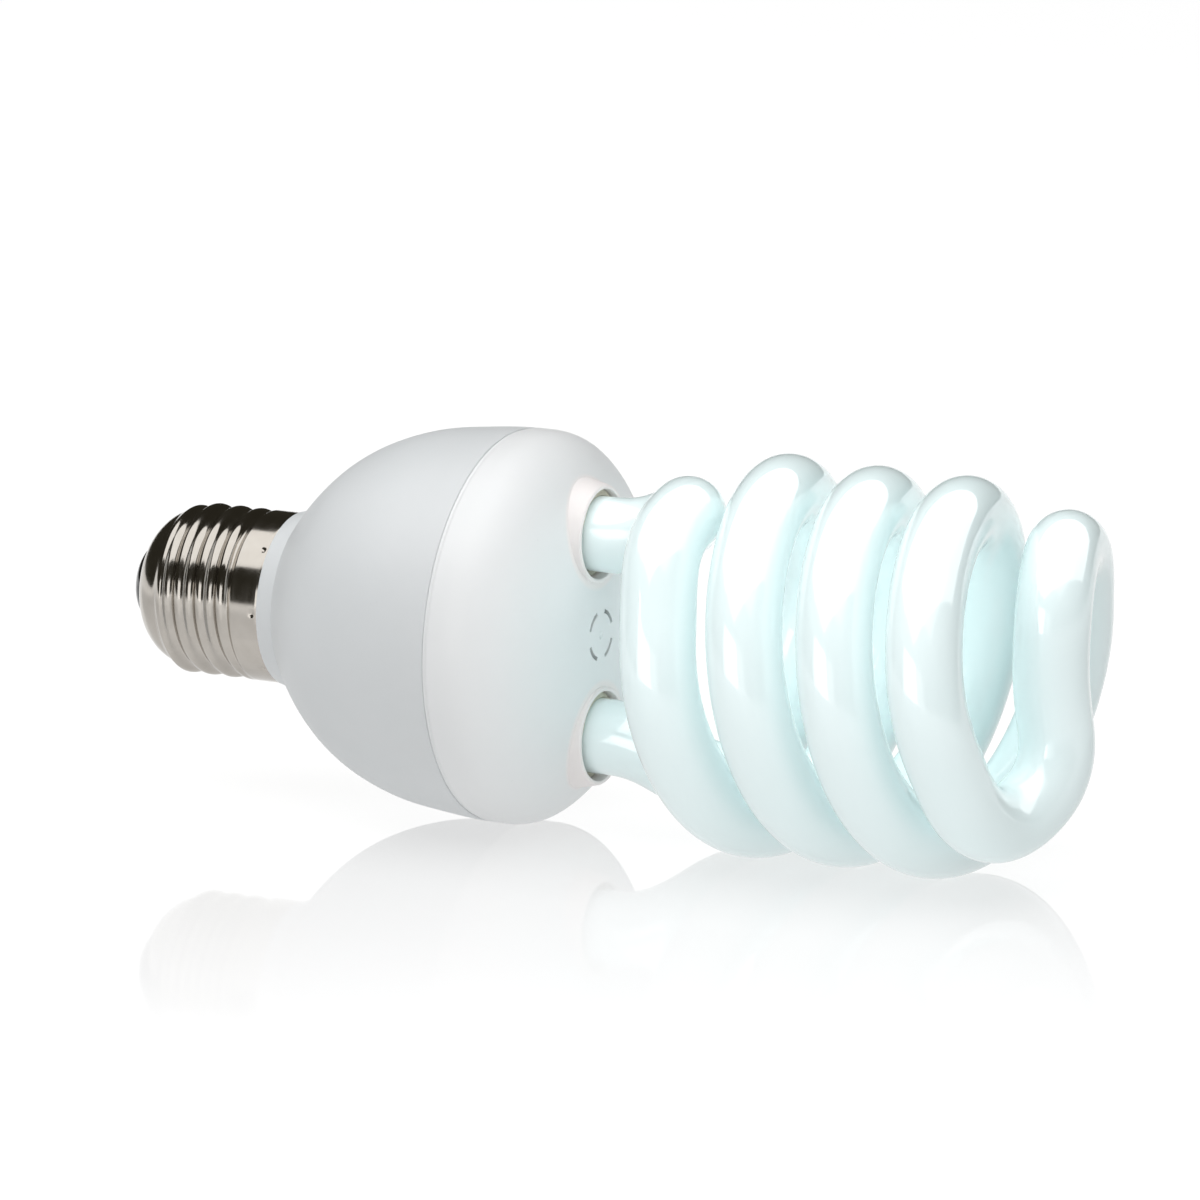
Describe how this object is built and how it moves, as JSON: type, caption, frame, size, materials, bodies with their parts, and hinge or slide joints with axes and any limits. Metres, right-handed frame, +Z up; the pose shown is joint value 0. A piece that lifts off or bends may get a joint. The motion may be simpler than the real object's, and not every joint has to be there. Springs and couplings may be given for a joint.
{
  "type": "compact spiral fluorescent lamp",
  "caption": "Compact spiral fluorescent UVB lamp for reptile enclosures: white ballast housing, double-helix tube and nickel 27 mm screw cap, lying on its side.",
  "frame": {"origin": "centre of the lamp's bounding box in X and Y, on the surface that it lies on", "axes": "+X along the lamp's axis from the screw cap to the closed end of the spiral; +Z up; the lamp lies on its side; the picture is taken from the -Y side"},
  "size_m": [0.1622, 0.0616, 0.0617],
  "materials": {
    "nickel_shell": "bright nickel plating, rolled",
    "cap_glass": "black moulded glass, glossy",
    "contact_brass": "satin pressed brass",
    "solder": "smooth solder bead",
    "housing_plastic": "white moulded plastic, satin",
    "cover_plastic": "white moulded plastic, satin",
    "coated_tube": "clear glass wall over a white inner coating, glossy",
    "cement": "dry white cement",
    "board": "tan laminate",
    "capacitor_sleeve": "shrunk sleeve",
    "ferrite": "sintered ferrite, matte",
    "bobbin_plastic": "moulded plastic",
    "copper_wire": "enamelled copper wire",
    "insulated_wire": "plastic covered wire",
    "component_black": "moulded epoxy",
    "film_dip": "dipped resin",
    "resistor_body": "lacquered",
    "diode_glass": "small glass body",
    "ceramic_body": "lacquered ceramic rod",
    "tinned_wire": "tinned wire"
  },
  "bodies": {
    "root": {"screw_shell": "nickel_shell", "cap_insulator": "cap_glass", "centre_contact": "contact_brass", "contact_solder": "solder", "lower_housing": "housing_plastic", "tube_cover": "cover_plastic", "spiral_tube": "coated_tube", "tube_cement": "cement", "circuit_board": "board", "smoothing_capacitor": "capacitor_sleeve", "choke_core": "ferrite", "choke_bobbin": "bobbin_plastic", "choke_winding": "copper_wire", "drive_toroid": "ferrite", "toroid_windings": "insulated_wire", "power_transistors": "component_black", "resonant_capacitor": "film_dip", "film_capacitors": "film_dip", "rectifier_diodes": "component_black", "resistors": "resistor_body", "trigger_diode": "diode_glass", "fuse_resistor": "ceramic_body", "line_choke_core": "ferrite", "line_choke_winding": "copper_wire", "wrap_pins": "tinned_wire", "filament_leads": "tinned_wire", "contact_wire": "insulated_wire", "shell_wire": "insulated_wire"}
  },
  "joints": []
}
